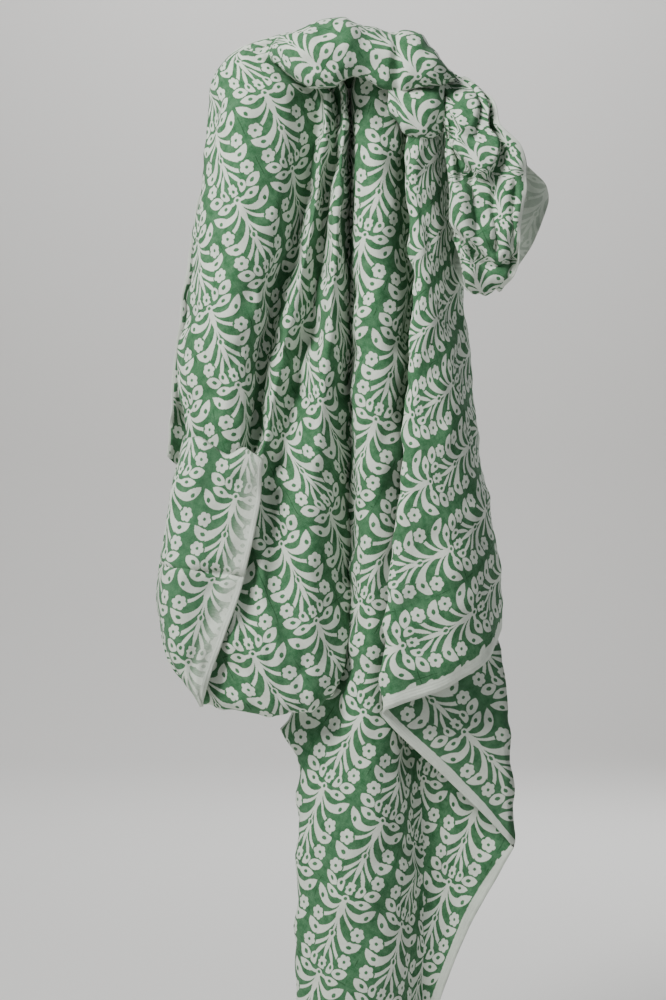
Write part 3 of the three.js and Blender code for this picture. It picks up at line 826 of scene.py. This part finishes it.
def foldGrid(table, drops, ring, column, drop, creases=()):
    # a place on a table of folds at each column, in folds, and drop: smooth down each fold, then across the
    # folds; in the dome the size falls as the root of 1 less a power of the height, and the folds flatten to
    # a ring
    column, drop = np.broadcast_arrays(column, drop)
    low = np.maximum(drop, drape["domeDrop"])
    numbers = np.arange(len(table))
    eachX, eachY = (np.stack([smoothThrough(drops, row[key], low) for row in table]) for key in ("x", "y"))
    x = smoothThrough(numbers, eachX, column, creases)
    y = smoothThrough(numbers, eachY, column, creases)
    height = np.clip((drape["domeDrop"] - drop) / (drape["domeDrop"] - drape["domeTop"]), 0, 1)
    size = np.sqrt(np.maximum(1 - height ** drape["domePower"], 0))
    angle = np.radians(ring[0] + (ring[1] - ring[0]) * column / (len(table) - 1))
    pleated = smoothStep(drape["pleatStart"], drape["pleatFull"], drop)
    centreX, centreY = drape["domeCentre"]
    ringX = drape["domeHalfWidth"] * np.cos(angle)
    ringY = drape["domeHalfDepth"] * np.sin(angle)
    inDome = drop < drape["domeDrop"]
    x = np.where(inDome, centreX + size * (ringX + (x - centreX - ringX) * pleated), x)
    y = np.where(inDome, centreY + size * (ringY + (y - centreY - ringY) * pleated), y)
    return np.stack([x, y, -drop], axis=-1)


def rowDrops(rows, reach):
    # even steps round the dome, then even steps down to the reach of each column
    row = np.arange(drape["domeRows"] + rows + 1)[:, None]
    deep = drape["domeDrop"] - drape["domeTop"]
    size = np.sin(math.pi / 2 * np.minimum(row / drape["domeRows"], 1))
    dome = drape["domeDrop"] - deep * (1 - size ** 2) ** (1 / drape["domePower"])
    below = (row - drape["domeRows"]) / rows
    return np.where(row < drape["domeRows"], dome, drape["domeDrop"] + (reach - drape["domeDrop"]) * below)


def foldSteps(stepsPerFold):
    # column numbers, with so many even steps to each fold
    spans = [np.arange(k, k + 1, 1 / steps) for k, steps in enumerate(stepsPerFold)]
    return np.append(np.concatenate(spans), len(stepsPerFold))


def acrossTable(table, key, at):
    # one named value of a table's rows, smooth between them
    return smoothThrough(np.arange(len(table)), [row[key] for row in table], at)


def lengths(points, axis):
    # running length of a grid's lines along one axis, from 0
    steps = np.linalg.norm(np.diff(points, axis=axis), axis=-1)
    start = np.zeros_like(np.take(steps, [0], axis=axis))
    return np.concatenate([start, np.cumsum(steps, axis=axis)], axis=axis)


def turnedPlace(across, down, grain, origin=(0, 0)):
    # the place on the block's grid: the cloth's own across and down, turned by the grain's angle
    angle = np.radians(grain)
    x = across * np.cos(angle) - down * np.sin(angle)
    y = across * np.sin(angle) + down * np.cos(angle)
    return np.stack([x + origin[0], y + origin[1]], axis=-1)


def bentPlace(across, down, grain, origin):
    # as turnedPlace, but the grain's angle changes down the cloth: the middle line is walked step by step,
    # and the rest lies square to it
    stride, longest = 2.0, 1100
    steps = np.arange(0, longest, stride)
    angle = np.radians(np.interp(steps, grain["down"], grain["angle"]))
    lineX = np.concatenate([[0], np.cumsum(-stride * np.sin(angle[:-1]))])
    lineY = np.concatenate([[0], np.cumsum(stride * np.cos(angle[:-1]))])
    here = np.radians(np.interp(down, grain["down"], grain["angle"]))
    x = np.interp(down, steps, lineX) + across * np.cos(here)
    y = np.interp(down, steps, lineY) + across * np.sin(here)
    return np.stack([x + origin[0], y + origin[1]], axis=-1)


def outwardOf(points):
    # unit normals of a grid: down crossed with across
    across = np.gradient(points, axis=1)
    down = np.gradient(points, axis=0)
    normal = np.cross(down, across)
    return normal / np.maximum(np.linalg.norm(normal, axis=-1, keepdims=True), 1e-9)


crumple = {"seed": 11, "waves": 26, "shortest": 16, "longest": 70, "height": 0.5, "power": 0.7}


def crumpled(points, amount=1.0):
    # soft unevenness: sine waves of many lengths and directions over the spread cloth, longer ones higher,
    # added up and moved along its normal
    maker = np.random.default_rng(crumple["seed"])
    total = np.zeros(points.shape[:2])
    across = lengths(points, 1).mean(axis=0)[None, :]
    for length in np.geomspace(crumple["shortest"], crumple["longest"], crumple["waves"]):
        way = maker.uniform(0, math.pi)
        phase = maker.uniform(0, 2 * math.pi)
        place = across * math.cos(way) - points[..., 2] * math.sin(way)
        height = (length / crumple["longest"]) ** crumple["power"]
        total += height * np.sin(place * 2 * math.pi / length + phase)
    return points + outwardOf(points) * (total * crumple["height"] * amount)[..., None]


def windingSheet():
    # the column, the panels at the right, the back and the tail: one table of folds, wound round the dome
    shape = windingShape
    column = foldSteps(shape["stepsPerFold"])
    reach = acrossTable(winding, "reach", column)
    drop = rowDrops(shape["rows"], reach)
    points = foldGrid(winding, windingDrops, shape["ring"], column, drop, shape["creases"])
    nearFold = np.clip(tuck["folds"] - np.abs(column - tuck["fold"]), 0, 1)
    points[..., 0] -= tuck["reach"] * np.exp(-np.abs(drop - tuck["drop"]) / tuck["half"]) * nearFold
    across = lengths(points, 1)
    down = lengths(points, 0)
    up = down[-1] - down
    foot = across[-1]
    # the selvedge lies up from the foot by the sine of the grain; it narrows where the cloth turns at the
    # right, and a thin one runs down the back edge
    selvedge = up * np.sin(-np.radians(acrossTable(winding, "grain", column)))
    selvedge = selvedge + shape["beforeHem"] * np.maximum(shape["firstHem"] - column, 0)
    selvedge = selvedge + shape["afterHem"] * np.maximum(column - shape["lastHem"], 0)
    nearTurn = np.exp(-np.abs(column - shape["turnFold"]) / shape["turnFades"])
    selvedge = selvedge * (1 + shape["turnNarrower"] * nearTurn)
    selvedge = np.minimum(selvedge, (across[:, -1:] - across) * shape["backNarrower"])
    # place on the flat cloth: the column's is measured from its ridge, and the others are ruled up from the
    # foot, which lies along the selvedge; each part has its own grain, and the parts meet in creases
    ridge = int(np.searchsorted(column, shape["ridge"]))
    deep = down[:, [ridge]] + drop - drop[:, [ridge]]
    points = crumpled(points)
    sheets = []
    for part in windingParts:
        kept = (column >= part["first"]) & (column <= part["last"])
        if part["grain"] is None:
            flat = bentPlace(across - across[:, [ridge]], deep, columnGrain, printPlaces[part["name"]])
        else:
            lean = math.radians(part["grain"])
            flat = np.stack([up * math.sin(lean), -foot[None, :] - up * math.cos(lean)], axis=-1)
            flat = flat + printPlaces[part["name"]]
        sheets.append({"points": points[:, kept], "flat": flat[:, kept], "selvedge": selvedge[:, kept] * mm})
    return sheets


def shoulderCreased(points):
    # each crease is a groove of bell section along the line between its ends, sunk along the cloth's normal
    outward = outwardOf(points)
    for crease in shoulderCreases:
        startX, startDrop = crease["start"]
        runX, runDrop = crease["end"][0] - startX, crease["end"][1] - startDrop
        aheadX, aheadDrop = points[..., 0] - startX, -points[..., 2] - startDrop
        share = np.clip((aheadX * runX + aheadDrop * runDrop) / (runX ** 2 + runDrop ** 2), 0, 1)
        gap = np.hypot(aheadX - share * runX, aheadDrop - share * runDrop)
        inward = crease["depth"] * np.exp(-(gap / shoulderHalfWidth) ** 2) * (points[..., 1] < shoulderFront)
        points = points - outward * inward[..., None]
    return points


def puffed(points):
    # the puff: a gathered knot of cloth beside the flap's corner, a bell of depth with small waves on it
    x, y, z = np.moveaxis(points, -1, 0)
    away = np.hypot((x - puff["x"]) / puff["halfWidth"], (-z - puff["drop"]) / puff["halfHeight"])
    waves = 1 + puff["waves"] * np.cos((x + z) * 2 * math.pi / puff["waveLength"])
    y = y - puff["depth"] * np.exp(-away ** 2) * waves * (y < puff["front"])
    return np.stack([x, y, z], axis=-1)


def panelSheet():
    # the left panel: a table of folds down to the pouch, then half a circle under it and a short way up
    # behind; the half circle's x follows the table, so its corner lies under the flap's tip
    column = foldSteps(panelShape["stepsPerFold"])
    drop = rowDrops(panelShape["rows"], acrossTable(panel, "reach", column) - pouch["turn"])
    points = foldGrid(panel, panelDrops, panelShape["ring"], column, drop)
    foot = points[-1]
    lowest = foldGrid(panel, panelDrops, panelShape["ring"], column, drop[-1] + pouch["turn"])
    angle = np.linspace(0, math.pi, pouch["rows"] + 1)[1:, None]
    share = np.sin(np.minimum(angle, math.pi / 2))
    turned = np.stack([foot[:, 0] + (lowest[:, 0] - foot[:, 0]) * share,
                       foot[:, 1] + pouch["turn"] * (1 - np.cos(angle)),
                       foot[:, 2] - pouch["turn"] * np.sin(angle)], axis=-1)
    share = np.linspace(0, 1, pouch["riseRows"] + 1)[1:, None]
    rise = np.stack([lowest[:, 0] * (1 - pouch["drawnIn"] * share),
                     foot[:, 1] + 2 * pouch["turn"] + pouch["lean"] * share,
                     foot[:, 2] + pouch["rise"] * share], axis=-1)
    points = np.concatenate([points, turned, rise])
    across = lengths(points, 1)
    down = lengths(points, 0)
    ridge = int(np.searchsorted(column, panelShape["ridge"]))
    flat = bentPlace(across - across[:, [ridge]], down[:, [ridge]], panelGrain, printPlaces["panel"])
    return [{"points": crumpled(puffed(shoulderCreased(points))), "flat": flat}]


def flapSheet():
    # the turned back edge: straight across from its fold to its selvedge, bent round from the fold on a
    # quarter circle, with one sharp crease; it starts a little behind its fold and its top edge
    across = np.linspace(0, 1, flap["columns"])[None, :]
    rows = np.concatenate([np.linspace(*span) for span in flap["rows"]])
    top = smoothThrough(np.linspace(0, 1, len(flap["top"])), flap["top"], across)
    drop = top + (flapDrops[-1] - top) * rows[:, None]
    fold = smoothThrough(flapDrops, flap["fold"], drop)
    selvedge = smoothThrough(flapDrops, flap["selvedge"], drop)
    front = smoothThrough(flapDrops, flap["depth"], drop)
    bend = np.sqrt(1 - (1 - np.minimum(across * 3, 1)) ** 2)
    fromCrease = np.abs(drop - flap["creaseFall"] * across - flap["crease"])
    points = np.stack([fold + (selvedge - fold) * across,
                       flap["foldDepth"] + (front - flap["foldDepth"]) * bend + flap["lean"] * across,
                       -drop], axis=-1)
    points[..., 1] += flap["creaseDepth"] * np.exp(-fromCrease / flap["creaseHalfWidth"])
    points = np.concatenate([points[:, :1] + np.array(flap["behindFold"]), points], axis=1)
    points = np.concatenate([points[:1] + np.array(flap["behindTop"]), points])
    width = lengths(points, 1)
    fromSelvedge = width[:, -1:] - width
    sideways = points[:, -1:, 0] - points[0, -1, 0] - fromSelvedge
    flat = turnedPlace(sideways, -points[..., 2], flap["grain"], printPlaces["flap"])
    fromSelvedge = fromSelvedge * math.cos(math.radians(flap["grain"])) + flap["edgeShift"]
    return [{"points": crumpled(points), "flat": flat, "selvedge": fromSelvedge * mm, "turned": 1.0}]


def rolledSheet(table, section, shape, origin):
    # a section carried along a table's stations, both smoothed: a section's point gives a depth, times the
    # station's front, and a share of the way down from its top to its lip
    station = np.linspace(0, len(table) - 1, shape["columns"])[None, :]
    x, top, lip, front = (acrossTable(table, key, station) for key in ("x", "top", "lip", "front"))
    turn = np.linspace(0, len(section) - 1, shape["rows"])[:, None]
    numbers = np.arange(len(section))
    depth, down = (smoothThrough(numbers, [corner[k] for corner in section], turn) for k in range(2))
    points = np.stack(np.broadcast_arrays(x, depth * front, -(top + (lip - top) * down)), axis=-1)
    across = lengths(points, 1)
    middle = points.shape[1] // 2
    flat = turnedPlace(across - across[:, [middle]], lengths(points, 0)[:, [middle]], rolledGrain, origin)
    return [{"points": crumpled(points), "flat": flat}]


def lobeCurl(across, drop):
    # how far the front layer lies back: its curled edges, then each swag and each crease
    shape = lobeShape
    curl = smoothThrough([edge[0] for edge in lobeEdge], [edge[1] for edge in lobeEdge], across)
    for swag in lobeSwags:
        # under the swag's parabola the cloth steps back, then comes forward again as a decaying curve
        under = drop - swag["drop"] + swag["rise"] * (2 * (across - swag["across"])) ** 2
        step = smoothStep(*shape["stepRows"], under) * np.exp(-np.maximum(under, 0) / swag["fade"])
        curl = curl + swag["back"] * step * np.sin(math.pi * across) ** shape["swagEnds"]
    for crease in lobeCreases:
        # a groove with a sharp bottom, fading in and out at its ends
        lean = shape["creaseLean"] * (drop - crease["top"])
        away = (across - crease["across"] - lean) / shape["creaseHalfWidth"]
        fade = shape["creaseFade"]
        between = smoothStep(crease["top"] - fade, crease["top"] + fade, drop)
        between = between * (1 - smoothStep(crease["foot"] - fade, crease["foot"] + fade, drop))
        curl = curl + crease["depth"] * np.exp(-np.abs(away)) * between
    return curl


def lobeSheet():
    # straight across from its left edge to its right, down the front layer, round the foot, up the back layer
    shape = lobeShape
    row = np.linspace(0, len(lobe) - 1, shape["rows"])[:, None]
    across = np.linspace(0, 1, shape["columns"])[None, :]
    table = np.array(lobe)
    drop, depth, left, right = (smoothThrough(np.arange(len(lobe)), table[:, k], row) for k in range(4))
    inFront = 1 - smoothStep(*shape["frontEnds"], row)
    y = depth + lobeCurl(across, drop) * inFront
    points = np.stack(np.broadcast_arrays(left + (right - left) * across, y, -drop), axis=-1)
    middle = shape["middle"]
    width = lengths(points, 1)
    down = lengths(points, 0)[:, [middle]] * shape["gather"]
    sideways = (width - width[:, [middle]]) * shape["gather"]
    flat = turnedPlace(sideways, down, shape["grain"], printPlaces["lobe"])
    fromEdge = (width[:, -1:] - width) * shape["selvedgeNarrower"]
    selvedge = np.where(row < shape["selvedgeEnds"], fromEdge, 1000) * mm
    # -1 marks the back layer as the faintest reverse, whose ink is paled partly for its paler face and partly
    # as painted light
    turned = np.where(row < shape["reverseFrom"], 0.0, -1.0)
    points = crumpled(points, shape["crumple"])
    return [{"points": points, "flat": flat, "selvedge": selvedge, "turned": turned}]


def makeCloth():
    hoodSheet = rolledSheet(hood, hoodSection, hoodShape, printPlaces["hood"])
    collarSheet = rolledSheet(collar, collarSection, collarShape, printPlaces["collar"])
    sheets = windingSheet() + panelSheet() + flapSheet() + hoodSheet + collarSheet + lobeSheet()
    for sheet in sheets:
        sheet["points"] = sheet["points"] * mm
        sheet["flat"] = sheet["flat"] * mm
    cloth = meshFrom("printedCloth", sheets)
    shape = bmesh.new()
    shape.from_mesh(cloth.data)
    bmesh.ops.remove_doubles(shape, verts=shape.verts, dist=1e-6)
    shape.to_mesh(cloth.data)
    shape.free()
    for material in (printedCotton("printedFace", 0), printedCotton("reverseFace", 1)):
        cloth.data.materials.append(material)
    thick = cloth.modifiers.new("thickness", "SOLIDIFY")
    thick.thickness = drape["clothThickness"] * mm
    thick.offset = -1
    thick.material_offset = 1
    thick.material_offset_rim = 1
    print("cloth made:", len(cloth.data.polygons), "faces")
    return cloth


makeStudio()
cloth = makeCloth()
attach(cloth, "root")
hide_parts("cloth")
